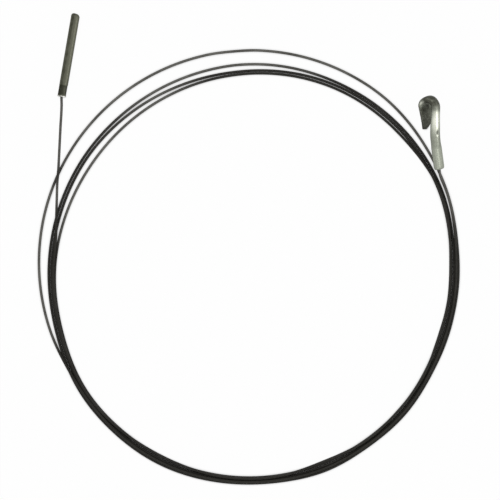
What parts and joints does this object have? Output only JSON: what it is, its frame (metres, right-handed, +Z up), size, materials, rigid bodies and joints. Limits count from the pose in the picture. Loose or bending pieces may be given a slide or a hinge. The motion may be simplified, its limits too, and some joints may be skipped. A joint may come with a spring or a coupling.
{
  "type": "accelerator cable",
  "caption": "Bare steel accelerator cable lying in a hand-wound coil, with a curled pedal hook at one end and a plain round carburettor pin at the other.",
  "frame": {"origin": "under the middle of the whole footprint, at the height of the surface it lies on", "axes": "+Z up as it lies, +Y towards the top of the picture, where the pin points, +X to its right, where the hook is"},
  "size_m": [0.2448, 0.2734, 0.0167],
  "materials": {
    "wire_rope": "bare drawn steel wire, laid up as a rope, lightly oiled",
    "hook_zinc": "zinc plated, mottled, half matt",
    "pin_zinc": "zinc plated with an olive passivation, mottled, half matt"
  },
  "bodies": {
    "root": {"cable": "wire_rope", "pedal_hook": "hook_zinc", "carburettor_pin": "pin_zinc"}
  },
  "joints": []
}
